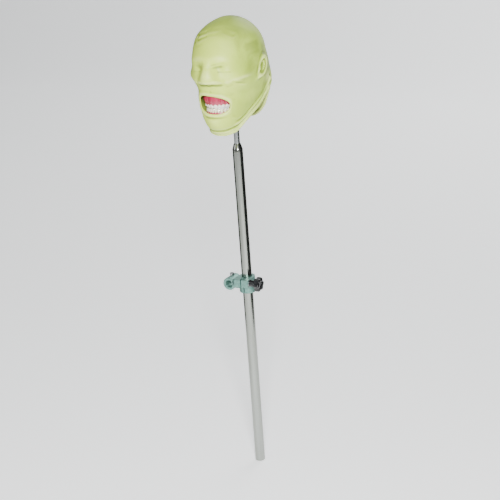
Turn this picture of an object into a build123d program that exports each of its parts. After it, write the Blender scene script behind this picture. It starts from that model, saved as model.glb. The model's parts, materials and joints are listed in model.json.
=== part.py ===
"""Dental teaching head on a bench pole: a jointed pair of practice jaws inside a rubber-masked head.

Origin: centre of the pole's lower end. +Z runs up the pole, the face looks along -Y, and X = 0 is the
plane of symmetry of the head. Millimetres. The lower end's plug lies flush inside the pole.
"""

from build123d import *
import math
import os

# ---- Clearances --------------------------------------------------------------------------------
running = 0.05       # radial, pins and shafts that turn or slide
seat = 0.02          # radial, pins and screws that stay put
skin = 0.3           # between separate curved walls
base_gap = 0.3       # between the skull frame and the upper jaw's base
tooth_gap = 0.15     # each side of a tooth, to its neighbour
pocket_gap = 0.3     # between a crown's neck and its pocket in the gum
counterbore_gap = 0.2
bite_gap = 0.4       # between the closed tooth rows

# ---- Pole, its clamp and the bench bar ----------------------------------------------------------
pole_r = 11.0
pole_wall = 2.0
pole_length = 712.0
plug_length = 12.0
plug_rounding = 1.0
reducer_plug = 30.0
reducer_collar = 5.0
reducer_cone = 11.0
cone_top_r = 7.5
stem_r = 6.0
stem_in_reducer = 26.0
stem_end_gap = 1.0

clamp_z = 421.0
clamp_height = 35.0
clamp_wall = 6.5
lug_height = 17.0
lug_half_width = 17.0
lug_reach = 19.0
slit = 2.0
bolt_r = 4.0
bolt_head_r = 7.0
bolt_head_height = 5.0
bolt_out = 10.0      # how far forward of the pole's wall the bolt passes
thread_pitch = 1.25
washer_r = 8.0
washer_thickness = 1.6
knob_r = 16.0
knob_neck_r = 7.0
knob_neck = 12.0
knob_thickness = 15.0
knob_lobes = 6
knob_lobe_r = 4.5
knob_core_r = 13.0
knob_cap = 2.0       # solid outer face of the knob
bar_r = 8.0
bar_wall = 6.0
bar_boss_length = 34.0
bar_x = -36.0
bar_screw_r = 3.0
bar_screw_tip = 1.0  # gap between the set screw and the bar
bar_screw_show = 2.0
bar_screw_head_r = 5.0
bar_screw_head = 4.0
web_half = 11.0       # half height of the web between collar and bar boss

# ---- Neck: two crossed pins ---------------------------------------------------------------------
stem_show = 44.0     # stem between the reducer and the neck fork
fork_base = 10.0
tilt_up = 20.0       # tilt pin above the fork's underside
nod_up = 28.0        # nod pin above the tilt pin
neck_pin_r = 4.0
pin_head_out = 2.0   # a pin's head stands this far beyond its shank all round
pin_head = 3.0
ear_r = 10.0
ear_thickness = 4.0
block_half = 8.7
ear_gap = 0.3
bracket_up = 21.0    # bracket plate above the nod pin
bracket_plate = 8.0
bracket_half_x = 16.0
bracket_half_y = 16.0
bracket_screw_r = 2.0
bracket_screw_in = 4.0   # from the plate's edges
bracket_screw_up = 5.0   # length of the hole above its counterbore
screw_head_out = 1.5
screw_head = 2.5

# ---- Head form: height above the neck fork, half width, front, back of each level ---------------
head_levels = [
    (-10.0, 25.0, -66.0, 2.0),
    (3.0, 34.0, -82.0, 20.0),
    (20.0, 44.0, -90.5, 38.0),
    (46.0, 55.0, -94.0, 68.0),
    (73.0, 64.5, -91.0, 88.0),
    (98.0, 72.0, -94.0, 89.0),
    (121.0, 72.5, -96.0, 88.0),
    (146.0, 69.5, -94.0, 82.0),
    (168.0, 66.0, -85.0, 74.0),
    (186.0, 58.0, -73.0, 62.0),
    (201.0, 43.0, -52.0, 47.0),
    (211.0, 26.0, -28.0, 30.0),
    (216.0, 10.0, -8.0, 12.0),
]
mask_thickness = 3.0
shell_wall = 4.0
chin_wall = 2.6
form_round = 200.0    # larger leaves more of each inset to the sides than to crown and base
nose = (0.0, -96.0, 110.0)
nose_size = (14.0, 14.0, 20.0)
ear = (71.0, -8.0, 117.0)
ear_size = (8.0, 13.0, 22.0)
mouth_up = 55.0
mouth_half_width = 33.0
mouth_half_height = 19.0
mouth_cut_y = -60.0   # the mouth is cut through everything forward of this
hem_front_up = -11.0  # mask hem below the chin
hem_front_y = -54.0
hem_rise = 44.0       # degrees the hem climbs towards the back
hem_back_up = 28.0    # lowest the hem gets at the back of the head
shell_split = 1.0     # half the gap between the front and rear shells
face_low_up = 88.0    # lower edge of the front shell
nape_y = 30.0         # front edge of the rear shell below the ears

# ---- Jaws ---------------------------------------------------------------------------------------
arch_y = -37.0        # where the arch is widest
upper_half_width = 31.0
upper_depth = 46.0
lower_half_width = 29.5
lower_depth = 44.0
gum_half = 5.0        # gum either side of the tooth line
gum_height = 13.0
crown_to_gum = 8.5
palate_thickness = 3.0
upper_base_thickness = 9.0
lower_base_thickness = 9.0
base_rear = 4.0       # plates run this far behind the widest part of the arch
root_r = 1.8
root_in_base = 3.0
tooth_screw_r = 0.8
tooth_screw_head_r = 1.7
tooth_screw_head = 1.6
tooth_screw_up = 4.0
thumb_r = 3.0
thumb_head_r = 6.5
thumb_head = 8.0
thumb_tip = 2.0      # solid base left beyond the hand screw's hole
thumb_tip_gap = 1.0
thumb_edge = 1.0
upper_thumb_y = -56.0
lower_thumb_y = -67.0

# width along the arch, thickness across it, at the neck and at the biting edge, crown height
upper_teeth = {
    "central_incisor": (8.5, 6.0, 2.2, 9.6),
    "lateral_incisor": (6.5, 5.6, 2.2, 9.0),
    "canine": (7.6, 7.0, 3.0, 9.6),
    "first_premolar": (6.9, 8.2, 6.0, 8.6),
    "second_premolar": (6.8, 8.4, 6.2, 8.4),
    "first_molar": (10.2, 10.0, 8.6, 8.4),
    "second_molar": (9.2, 9.8, 8.2, 8.4),
}
lower_teeth = {
    "central_incisor": (5.2, 5.4, 2.0, 9.2),
    "lateral_incisor": (5.8, 5.6, 2.0, 9.2),
    "canine": (6.8, 6.6, 2.8, 9.6),
    "first_premolar": (6.9, 7.4, 5.4, 8.6),
    "second_premolar": (7.1, 7.8, 6.0, 8.4),
    "first_molar": (10.8, 9.6, 8.4, 8.4),
    "second_molar": (10.2, 9.4, 8.2, 8.4),
}

# ---- Skull frame, mandible and their hinge ------------------------------------------------------
hinge_y = -15.0
hinge_up = 108.0
hinge_pin_r = 4.0
hinge_boss_r = 9.0
hinge_pin_tail = 1.0
hinge_pin_head = 2.5
arm_in = 32.0
arm_thickness = 4.2
frame_ear_thickness = 5.0
frame_plate = 5.0
frame_plate_grow = -4.0  # frame plate outside the upper tooth line
frame_top_up = 121.0
frame_top = 5.0
frame_wall_y = 19.0
frame_wall = 5.0
lug_out = 62.0
lug_deep = 14.0
boss_in = 10.0       # how far the shells' bosses reach in from the lugs' ends
boss_height = 9.0
shell_screw_r = 2.0
shell_screw_in = 5.0
shell_screw_tip = 2.0
mandible_plate = 5.0
mandible_grow = -3.0  # mandible plate outside the lower tooth line
lower_base_grow = 0.0
tongue_half = 17.0
tongue_y = -60.0
arm_foot = 12.0       # arms stand this deep, just behind the jaws
arm_gap = 4.5
chin_rear_y = -46.0
chin_top_up = 31.0
chin_tab = 4.0
chin_tab_x = 20.0
chin_tab_y = -52.0
chin_tab_half = 6.0
chin_up = 5.0        # lower edge of the chin form above the hem
chin_screw_r = 1.5
chin_screw_tip = 1.0
chin_screw_head = 2.0


# ---- Places worked out from the sizes above -----------------------------------------------------
reducer_top = pole_length + reducer_collar + reducer_cone
neck_z = reducer_top + stem_show              # underside of the neck fork, and the head's datum
tilt_z = neck_z + tilt_up
nod_z = tilt_z + nod_up
bracket_z = nod_z + bracket_up
plate_z = bracket_z + bracket_plate           # top of the bracket, underside of the skull frame
upper_base_z = plate_z - base_gap - upper_base_thickness
upper_gum_z = upper_base_z - gum_height
bite_z = upper_gum_z - crown_to_gum - bite_gap / 2
lower_gum_z = bite_z - bite_gap / 2 - crown_to_gum
lower_base_z = lower_gum_z - gum_height       # top of the lower base
mandible_z = lower_base_z - lower_base_thickness
chin_tab_z = mandible_z - mandible_plate
mouth_z = neck_z + mouth_up
hem_front_z = neck_z + hem_front_up
hem_back_z = neck_z + hem_back_up
face_low_z = neck_z + face_low_up
hinge_z = neck_z + hinge_up
frame_top_z = neck_z + frame_top_up
chin_top_z = neck_z + chin_top_up
bolt_y = -pole_r - bolt_out
bolt_z = clamp_z + (clamp_height - lug_height) / 2   # the lugs end level with the clamp's top
shell_out = mask_thickness + skin
shell_in = shell_out + shell_wall
far = 200.0                                   # clear of the head on every side
crown_share = {"edge": 0.97, "neck": 0.8}     # of a tooth's full width
belly_up = 0.45                               # widest part of a crown, of its height


def write(shape, node):
    """Write one sub-part."""
    os.makedirs("parts", exist_ok=True)
    export_step(shape, f"parts/{node}.step")


def rod(radius, length, start, axis):
    """A round bar from a start point along X, Y or Z."""
    turn = {"X": (0, 90, 0), "Y": (-90, 0, 0), "Z": (0, 0, 0)}[axis]
    upright = Cylinder(radius, length, align=(Align.CENTER, Align.CENTER, Align.MIN))
    return Location(start, turn) * upright


def block(x, y, z):
    """A box from three (low, high) pairs."""
    size = (x[1] - x[0], y[1] - y[0], z[1] - z[0])
    middle = ((x[0] + x[1]) / 2, (y[0] + y[1]) / 2, (z[0] + z[1]) / 2)
    return Location(middle) * Box(*size)


def head_form(inset):
    """The closed head, with its surface moved in by inset."""
    rings = []
    for up, half, front, back in head_levels:
        z = neck_z + up - inset * (up - hinge_up) / form_round
        middle = Plane(origin=(0, (front + back) / 2, z))
        rings.append(middle * Ellipse(half - inset, (back - front) / 2 - inset))
    return loft(rings)


def lump(centre, size, grow):
    """A rounded lump on the head, such as the nose or an ear."""
    ball = scale(Sphere(1), by=tuple(s + grow for s in size))
    return Location((centre[0], centre[1], neck_z + centre[2])) * ball


def arch_point(half_width, depth, turn):
    """Point, outward direction and bend radius of the tooth line at a turn from the midline."""
    x = half_width * math.sin(turn)
    y = arch_y - depth * math.cos(turn)
    speed = math.hypot(half_width * math.cos(turn), depth * math.sin(turn))
    heading = math.degrees(math.atan2(depth * math.sin(turn), half_width * math.cos(turn)))
    return x, y, heading, speed ** 3 / (half_width * depth)


def places(teeth, half_width, depth):
    """Turn of each tooth's middle along the arch, from the widths."""
    turn, done, found = 0.0, 0.0, {}
    step = 0.0005
    for name, (width, *_rest) in teeth.items():
        target = done + width / 2
        while done < target:
            done += step * math.hypot(half_width * math.cos(turn), depth * math.sin(turn))
            turn += step
        found[name] = turn
        target += width / 2
        while done < target:
            done += step * math.hypot(half_width * math.cos(turn), depth * math.sin(turn))
            turn += step
    return found


def arch_face(half_width, depth, grow, rear):
    """The D-shaped outline of a jaw, grown by grow and cut off square at the rear."""
    outline = Location((0, arch_y)) * Ellipse(half_width + grow, depth + grow)
    straight = Location((0, arch_y)) * Rectangle(
        2 * (half_width + grow), rear, align=(Align.CENTER, Align.MIN))
    behind = Location((0, arch_y)) * Rectangle(
        2 * far, 2 * far, align=(Align.CENTER, Align.MIN))
    return (outline - behind) + straight


def slab(face, low, high):
    """A flat plate with the outline of face, between two heights."""
    return extrude(Location((0, 0, low)) * face, high - low)


# ---- Clamp --------------------------------------------------------------------------------------
def clamp_body():
    low = clamp_z - clamp_height / 2
    top = clamp_z + clamp_height / 2
    body = rod(pole_r + clamp_wall, clamp_height, (0, 0, low), "Z")
    body += block((-lug_half_width, lug_half_width), (-pole_r - lug_reach, 0),
                  (top - lug_height, top))
    body += block((bar_x, 0), (-bar_r, bar_r), (clamp_z - web_half, clamp_z + web_half))
    boss_start = (bar_x, -bar_boss_length / 2, clamp_z)
    body += rod(bar_r + bar_wall, bar_boss_length, boss_start, "Y")
    body -= rod(pole_r + running, clamp_height, (0, 0, low), "Z")
    body -= block((-slit / 2, slit / 2), (-pole_r - lug_reach, 0), (low, top))
    body -= rod(bar_r + running, bar_boss_length, boss_start, "Y")
    body -= rod(bolt_r + running, 2 * lug_half_width, (-lug_half_width, bolt_y, bolt_z), "X")
    screw_hole = (bar_x, 0, clamp_z)
    body -= rod(bar_screw_r + seat, bar_r + bar_wall, screw_hole, "Z")
    return body


def clamp_pieces():
    write(clamp_body(), "clamp_body")
    knob_start = lug_half_width + washer_thickness
    knob_end = knob_start + knob_neck + knob_thickness
    bolt = rod(bolt_r, lug_half_width + knob_end - knob_cap, (-lug_half_width, bolt_y, bolt_z), "X")
    head = Location((-lug_half_width, bolt_y, bolt_z), (0, -90, 0)) * extrude(
        RegularPolygon(bolt_head_r, 6), bolt_head_height)
    write(bolt + head, "clamp_bolt")
    washer = rod(washer_r, washer_thickness, (lug_half_width, bolt_y, bolt_z), "X")
    washer -= rod(bolt_r + running, washer_thickness, (lug_half_width, bolt_y, bolt_z), "X")
    write(washer, "knob_washer")
    knob = rod(knob_neck_r, knob_neck, (knob_start, bolt_y, bolt_z), "X")
    knob += rod(knob_core_r, knob_thickness, (knob_start + knob_neck, bolt_y, bolt_z), "X")
    for lobe in range(knob_lobes):
        turn = 2 * math.pi * lobe / knob_lobes
        y = bolt_y + (knob_r - knob_lobe_r) * math.cos(turn)
        z = bolt_z + (knob_r - knob_lobe_r) * math.sin(turn)
        knob += rod(knob_lobe_r, knob_thickness, (knob_start + knob_neck, y, z), "X")
    knob -= rod(bolt_r + running, knob_neck + knob_thickness - knob_cap,
                (knob_start, bolt_y, bolt_z), "X")
    write(knob, "clamp_knob")
    screw_low = clamp_z + bar_r + bar_screw_tip
    head_low = clamp_z + bar_r + bar_wall + bar_screw_show
    screw = rod(bar_screw_r, head_low - screw_low, (bar_x, 0, screw_low), "Z")
    screw += rod(bar_screw_head_r, bar_screw_head, (bar_x, 0, head_low), "Z")
    write(screw, "bar_screw")


# ---- Pole ---------------------------------------------------------------------------------------
def pole_pieces():
    bore = pole_r - pole_wall
    tube = rod(pole_r, pole_length, (0, 0, 0), "Z") - rod(bore, pole_length, (0, 0, 0), "Z")
    write(tube, "pole_tube")
    plug = rod(bore - seat, plug_length, (0, 0, 0), "Z")
    write(fillet(plug.edges().sort_by(Axis.Z)[0], plug_rounding), "pole_end_plug")
    reducer = rod(bore - seat, reducer_plug, (0, 0, pole_length - reducer_plug), "Z")
    reducer += rod(pole_r, reducer_collar, (0, 0, pole_length), "Z")
    cone = Cone(pole_r, cone_top_r, reducer_cone, align=(Align.CENTER, Align.CENTER, Align.MIN))
    reducer += Location((0, 0, pole_length + reducer_collar)) * cone
    deep = reducer_collar + reducer_cone + stem_in_reducer + stem_end_gap
    reducer -= rod(stem_r + running, deep, (0, 0, reducer_top - deep), "Z")
    write(reducer, "pole_reducer")


# ---- Neck ---------------------------------------------------------------------------------------
def fork(axis, pin_z, base_z, base, half):
    """Two round-ended ears with a pin hole, standing on a base plate. axis is the pin's."""
    inner = half + ear_gap
    outer = inner + ear_thickness
    low, high = sorted((pin_z, base_z))
    ears = None
    for side in (-outer, inner):
        if axis == "Y":
            ear_block = block((-ear_r, ear_r), (side, side + ear_thickness), (low, high))
            end = rod(ear_r, ear_thickness, (0, side, pin_z), "Y")
        else:
            ear_block = block((side, side + ear_thickness), (-ear_r, ear_r), (low, high))
            end = rod(ear_r, ear_thickness, (side, 0, pin_z), "X")
        ears = ear_block + end if ears is None else ears + ear_block + end
    start = (0, -outer, pin_z) if axis == "Y" else (-outer, 0, pin_z)
    return (ears + base) - rod(neck_pin_r + seat, 2 * outer, start, axis)


def bracket_screw_places():
    """Where the four screws between bracket and skull frame stand."""
    x = bracket_half_x - bracket_screw_in
    y = bracket_half_y - bracket_screw_in
    return [(-x, -y), (-x, y), (x, -y), (x, y)]


def neck_pieces():
    stem_low = pole_length - stem_in_reducer
    outer = block_half + ear_gap + ear_thickness
    write(rod(stem_r, neck_z + fork_base / 2 - stem_low, (0, 0, stem_low), "Z"), "neck_stem")
    base = rod(outer, fork_base, (0, 0, neck_z), "Z")
    base &= block((-ear_r, ear_r), (-outer, outer), (neck_z, neck_z + fork_base))
    yoke = fork("Y", tilt_z, neck_z + fork_base, base, block_half)
    yoke -= rod(stem_r + seat, fork_base / 2, (0, 0, neck_z), "Z")
    write(yoke, "neck_fork")
    cross = block((-block_half, block_half), (-block_half, block_half), (tilt_z, nod_z))
    cross += rod(block_half, 2 * block_half, (0, -block_half, tilt_z), "Y")
    cross += rod(block_half, 2 * block_half, (-block_half, 0, nod_z), "X")
    cross -= rod(neck_pin_r + running, 2 * block_half, (0, -block_half, tilt_z), "Y")
    cross -= rod(neck_pin_r + running, 2 * block_half, (-block_half, 0, nod_z), "X")
    write(cross, "neck_block")
    for node, z, axis in (("tilt_pin", tilt_z, "Y"), ("nod_pin", nod_z, "X")):
        start = (0, -outer, z) if axis == "Y" else (-outer, 0, z)
        end = (0, outer, z) if axis == "Y" else (outer, 0, z)
        pin = rod(neck_pin_r, 2 * outer + pin_head, start, axis)
        write(pin + rod(neck_pin_r + pin_head_out, pin_head, end, axis), node)
    plate = block((-bracket_half_x, bracket_half_x), (-bracket_half_y, bracket_half_y),
                  (bracket_z, plate_z))
    bracket = fork("X", nod_z, bracket_z, plate, block_half)
    screws = []
    screw_low = plate_z - bracket_screw_up
    head_r = bracket_screw_r + screw_head_out
    for x, y in bracket_screw_places():
        bracket -= rod(bracket_screw_r + seat, bracket_screw_up, (x, y, screw_low), "Z")
        bracket -= rod(head_r + counterbore_gap, screw_low - bracket_z, (x, y, bracket_z), "Z")
        screw = rod(bracket_screw_r, bracket_screw_up + frame_plate - 1, (x, y, screw_low), "Z")
        screws.append(screw + rod(head_r, screw_head, (x, y, screw_low - screw_head), "Z"))
    write(bracket, "head_bracket")
    write(Compound(screws), "bracket_screws")


# ---- Skull frame and the head's shells ----------------------------------------------------------
def frame_pieces():
    ear_in = arm_in + arm_thickness + 2 * skin
    ear_out = ear_in + frame_ear_thickness
    plate_top = plate_z + frame_plate
    wall_back = frame_wall_y + frame_wall
    half = upper_half_width + frame_plate_grow
    outline = arch_face(upper_half_width, upper_depth, frame_plate_grow, wall_back - arch_y)
    frame = slab(outline, plate_z, plate_top)
    frame += block((-half, half), (frame_wall_y, wall_back), (plate_z, frame_top_z))
    frame += block((-ear_out, ear_out), (-lug_deep * 2, wall_back),
                   (frame_top_z, frame_top_z + frame_top))
    frame += block((-lug_out, lug_out), (-lug_deep, lug_deep),
                   (frame_top_z, frame_top_z + frame_top))
    pins = []
    for side in (-1, 1):
        xs = sorted((side * ear_in, side * ear_out))
        frame += block(xs, (hinge_y - hinge_boss_r, hinge_y + hinge_boss_r), (hinge_z, frame_top_z))
        frame += rod(hinge_boss_r, frame_ear_thickness, (xs[0], hinge_y, hinge_z), "X")
        frame -= rod(hinge_pin_r + seat, frame_ear_thickness, (xs[0], hinge_y, hinge_z), "X")
        low = min(side * (arm_in - hinge_pin_tail), side * (ear_out + hinge_pin_tail))
        pin = rod(hinge_pin_r, ear_out - arm_in + 2 * hinge_pin_tail, (low, hinge_y, hinge_z), "X")
        head_low = ear_out if side > 0 else -ear_out - hinge_pin_head
        head = rod(hinge_pin_r + pin_head_out, hinge_pin_head, (head_low, hinge_y, hinge_z), "X")
        pins.append(pin + head)
    for x, y in bracket_screw_places():
        frame -= rod(bracket_screw_r + seat, frame_plate, (x, y, plate_z), "Z")
    frame -= rod(thumb_r + seat, frame_plate, (0, upper_thumb_y, plate_z), "Z")
    screws = []
    deep = frame_top + boss_height - shell_screw_tip
    for x in (shell_screw_in - lug_out, lug_out - shell_screw_in):
        for y in (-lug_deep / 2, lug_deep / 2):
            frame -= rod(shell_screw_r + seat, frame_top, (x, y, frame_top_z), "Z")
            head = rod(shell_screw_r + screw_head_out, screw_head,
                       (x, y, frame_top_z - screw_head), "Z")
            screws.append(head + rod(shell_screw_r, deep, (x, y, frame_top_z), "Z"))
    write(frame, "skull_frame")
    write(Compound(pins), "jaw_hinge_pins")
    write(Compound(screws), "shell_screws")


def shell_pieces():
    outer = head_form(shell_out)
    wall = outer - head_form(shell_in)
    boss_z = frame_top_z + frame_top
    above = neck_z + 2 * far
    nape_low = hem_back_z + 2 * mask_thickness
    front = block((-far, far), (-far, -shell_split), (face_low_z, above))
    rear = block((-far, far), (shell_split, far), (face_low_z, above))
    rear += block((-far, far), (nape_y, far), (nape_low, face_low_z))
    for node, ys, screw_y, keep in (
        ("skull_front_shell", (-lug_deep, -shell_split), -lug_deep / 2, front),
        ("skull_rear_shell", (shell_split, lug_deep), lug_deep / 2, rear),
    ):
        shell = wall & keep
        for side in (-1, 1):
            xs = sorted((side * (lug_out - boss_in), side * far))
            shell += block(xs, ys, (boss_z, boss_z + boss_height)) & outer
            hole = (side * (lug_out - shell_screw_in), screw_y, boss_z)
            shell -= rod(shell_screw_r + seat, boss_height - shell_screw_tip, hole, "Z")
        write(shell, node)


def face_mask():
    outside = head_form(0) + lump(nose, nose_size, 0)
    for side in (-1, 1):
        outside += lump((side * ear[0], ear[1], ear[2]), ear_size, 0)
    mask = outside - head_form(mask_thickness)
    mouth = Ellipse(mouth_half_width, mouth_half_height)
    mask -= Location((0, mouth_cut_y, mouth_z), (90, 0, 0)) * extrude(mouth, far)
    below = Location((0, hem_front_y, hem_front_z), (hem_rise, 0, 0)) * Box(
        2 * far, 2 * far, far, align=(Align.CENTER, Align.CENTER, Align.MAX))
    below -= block((-far, far), (-far, far), (hem_back_z, hem_back_z + 2 * far))
    mask -= below
    mask -= block((-far, far), (-far, far), (0, hem_front_z + 1))
    write(mask, "face_mask")


# ---- Jaws ---------------------------------------------------------------------------------------
def tooth(width, neck, edge, height, place, up):
    """A tapered crown on a round root. up is +1 for an upper tooth, -1 for a lower one."""
    x, y, heading, bend = place
    sections = []
    for z, across, share in (
        (0, edge, crown_share["edge"]),
        (height * belly_up, neck, 1.0),
        (height, neck * crown_share["neck"], crown_share["neck"]),
    ):
        inner = share * (width * (1 - across / 2 / bend) - 2 * tooth_gap)
        outer = share * (width - 2 * tooth_gap)
        low = -across / 2
        outline = Polygon((-outer / 2, low), (outer / 2, low), (inner / 2, -low), (-inner / 2, -low),
                          align=None)
        sections.append(Location((0, 0, up * (bite_gap / 2 + z))) * outline)
    crown = loft(sections, ruled=True)
    root_length = crown_to_gum + gum_height + root_in_base - height + 1
    root_low = bite_gap / 2 + height - 1
    low = root_low if up > 0 else -root_low - root_length
    body = crown + rod(root_r, root_length, (0, 0, low), "Z")
    deep = root_in_base + gum_height - 4
    start = up * (bite_gap / 2 + crown_to_gum + gum_height + root_in_base)
    body -= rod(tooth_screw_r + seat, deep, (0, 0, min(start, start - up * deep)), "Z")
    return Location((x, y, bite_z), (0, 0, heading)) * body


def jaw(name, teeth, half_width, depth, up):
    """One jaw: its teeth, gum, base plate and tooth screws. up is +1 for the upper jaw."""
    turns = places(teeth, half_width, depth)
    gum_start = upper_gum_z if up > 0 else lower_gum_z
    gum_end = gum_start + up * gum_height
    base_end = gum_end + up * (upper_base_thickness if up > 0 else lower_base_thickness)
    gum_low, gum_high = sorted((gum_start, gum_end))
    base_low, base_high = sorted((gum_end, base_end))
    outline = arch_face(half_width, depth, gum_half, base_rear)
    inside = arch_face(half_width, depth, -gum_half, base_rear)
    gum = slab(outline, gum_low, gum_high)
    if up > 0:
        gum -= slab(inside, gum_low, gum_high - palate_thickness)
        base = slab(outline, base_low, base_high)
        base -= rod(thumb_r + seat, upper_base_thickness - thumb_tip,
                    (0, upper_thumb_y, base_low + thumb_tip), "Z")
    else:
        tongue = block((-tongue_half, tongue_half), (tongue_y, 0), (base_low, gum_high))
        gum -= slab(inside, gum_low, gum_high)
        base = slab(arch_face(half_width, depth, lower_base_grow, base_rear), base_low, base_high)
        base -= tongue
        base -= rod(thumb_r + seat, lower_base_thickness - thumb_tip,
                    (0, lower_thumb_y, base_low), "Z")
    screws = []
    for tooth_name, (width, neck, edge, height) in teeth.items():
        for side, label in ((1, "left"), (-1, "right")):
            x, y, heading, bend = arch_point(half_width, depth, turns[tooth_name])
            place = (side * x, y, side * heading, bend)
            shape = tooth(width, neck, edge, height, place, up)
            write(shape, f"{name}_{label}_{tooth_name}")
            if height > crown_to_gum:
                pocket_end = bite_z + up * (bite_gap / 2 + height + pocket_gap)
                pocket = Location((side * x, y), (0, 0, side * heading)) * Rectangle(
                    width - tooth_gap / 8, neck + 2 * pocket_gap)
                gum -= slab(pocket, min(pocket_end, gum_start), max(pocket_end, gum_start))
            gum -= rod(root_r + running, gum_height, (side * x, y, gum_low), "Z")
            root_end = gum_end + up * root_in_base
            base -= rod(root_r + seat, root_in_base,
                        (side * x, y, min(gum_end, root_end)), "Z")
            base -= rod(tooth_screw_r + running, abs(base_end - root_end),
                        (side * x, y, min(base_end, root_end)), "Z")
            head_start = base_end - up * tooth_screw_head
            base -= rod(tooth_screw_head_r + running, tooth_screw_head,
                        (side * x, y, min(base_end, head_start)), "Z")
            tip = root_end - up * tooth_screw_up
            low, high = sorted((tip, head_start))
            screw = rod(tooth_screw_r, high - low, (side * x, y, low), "Z")
            screw += rod(tooth_screw_head_r, tooth_screw_head, (side * x, y, min(
                base_end, head_start)), "Z")
            screws.append(screw)
    write(gum, f"{name}_gum")
    write(base, f"{name}_jaw_base")
    write(Compound(screws), f"{name}_tooth_screws")


def thumbscrew(node, y, seat_z, up, length):
    """A knurled hand screw whose head bears on seat_z and whose shank points down (up is +1)."""
    low, high = sorted((seat_z, seat_z - up * length))
    shape = rod(thumb_r, high - low, (0, y, low), "Z")
    head_low = min(seat_z, seat_z + up * thumb_head)
    head = rod(thumb_head_r, thumb_head, (0, y, head_low), "Z")
    write(shape + chamfer(head.edges().filter_by(GeomType.CIRCLE), thumb_edge), node)


def mandible_pieces():
    low = chin_tab_z
    outline = arch_face(lower_half_width, lower_depth, mandible_grow, base_rear)
    plate = slab(outline, low, mandible_z)
    front = arch_y + base_rear + arm_gap
    rear = front + arm_foot
    half = lower_half_width + mandible_grow
    plate += block((-half, half), (arch_y, rear), (low, mandible_z))
    plate += block((-arm_in - arm_thickness, arm_in + arm_thickness), (front, rear),
                   (low, mandible_z))
    plate -= block((-tongue_half, tongue_half), (tongue_y, 0), (low, mandible_z))
    plate -= rod(thumb_r + seat, mandible_plate, (0, lower_thumb_y, low), "Z")
    for side in (-1, 1):
        xs = sorted((side * arm_in, side * (arm_in + arm_thickness)))
        outline = Polygon((front, low), (rear, low),
                          (hinge_y + hinge_boss_r, hinge_z), (hinge_y - hinge_boss_r, hinge_z),
                          align=None)
        arm = extrude(Plane(origin=(xs[0], 0, 0), x_dir=(0, 1, 0), z_dir=(1, 0, 0)) * outline,
                      arm_thickness)
        plate += arm + rod(hinge_boss_r, arm_thickness, (xs[0], hinge_y, hinge_z), "X")
        plate -= rod(hinge_pin_r + running, arm_thickness, (xs[0], hinge_y, hinge_z), "X")
    solid = head_form(shell_out)
    chin = solid - head_form(shell_out + chin_wall)
    chin &= block((-far, far), (-far, chin_rear_y), (hem_front_z + chin_up, chin_top_z))
    for grow, bottom, top in (
        (tooth_screw_head_r + skin, mandible_z, lower_base_z),
        (gum_half + skin, lower_base_z - skin, chin_top_z),
    ):
        chin -= slab(arch_face(lower_half_width, lower_depth, grow, base_rear), bottom, top)
    screws = []
    head_r = chin_screw_r + screw_head_out
    shank = chin_tab + mandible_plate - chin_screw_tip
    for side in (-1, 1):
        x = side * chin_tab_x
        start = (x, chin_tab_y, low - chin_tab)
        chin += block((x - chin_tab_half, x + chin_tab_half), (-far, chin_tab_y + chin_tab_half),
                      (low - chin_tab, low)) & solid
        chin -= rod(chin_screw_r + seat, chin_tab, start, "Z")
        plate -= rod(chin_screw_r + seat, mandible_plate - chin_screw_tip, (x, chin_tab_y, low), "Z")
        head = rod(head_r, chin_screw_head, (x, chin_tab_y, start[2] - chin_screw_head), "Z")
        screws.append(head + rod(chin_screw_r, shank, start, "Z"))
    write(plate, "mandible_frame")
    write(chin, "chin_form")
    write(Compound(screws), "chin_screws")


clamp_pieces()
pole_pieces()
neck_pieces()
frame_pieces()
shell_pieces()
face_mask()
jaw("upper", upper_teeth, upper_half_width, upper_depth, 1)
jaw("lower", lower_teeth, lower_half_width, lower_depth, -1)
thumbscrew("upper_base_thumbscrew", upper_thumb_y, plate_z + frame_plate, 1,
           frame_plate + upper_base_thickness - thumb_tip - thumb_tip_gap)
thumbscrew("lower_base_thumbscrew", lower_thumb_y, chin_tab_z, -1,
           mandible_plate + lower_base_thickness - thumb_tip - thumb_tip_gap)
mandible_pieces()
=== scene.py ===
import json
import math
import bpy
import numpy as np
from mathutils import Matrix, Quaternion, Vector


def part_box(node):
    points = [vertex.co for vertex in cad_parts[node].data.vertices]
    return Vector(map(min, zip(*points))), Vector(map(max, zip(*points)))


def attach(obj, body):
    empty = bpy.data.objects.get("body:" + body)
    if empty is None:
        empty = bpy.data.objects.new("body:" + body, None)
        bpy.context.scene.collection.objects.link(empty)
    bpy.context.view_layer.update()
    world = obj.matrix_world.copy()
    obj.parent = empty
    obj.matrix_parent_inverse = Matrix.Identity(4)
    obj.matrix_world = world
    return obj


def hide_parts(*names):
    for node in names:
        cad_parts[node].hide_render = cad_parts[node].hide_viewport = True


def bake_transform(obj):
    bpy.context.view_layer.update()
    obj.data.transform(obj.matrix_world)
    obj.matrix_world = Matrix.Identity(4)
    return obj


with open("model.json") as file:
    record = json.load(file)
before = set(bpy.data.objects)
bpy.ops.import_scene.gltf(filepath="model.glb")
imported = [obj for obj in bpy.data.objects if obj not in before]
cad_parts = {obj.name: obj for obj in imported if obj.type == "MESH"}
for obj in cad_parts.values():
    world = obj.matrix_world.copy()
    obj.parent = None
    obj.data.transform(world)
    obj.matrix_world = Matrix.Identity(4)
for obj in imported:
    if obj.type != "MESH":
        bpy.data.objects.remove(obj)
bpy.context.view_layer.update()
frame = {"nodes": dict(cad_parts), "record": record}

bpy.ops.object.select_all(action="DESELECT")


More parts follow.
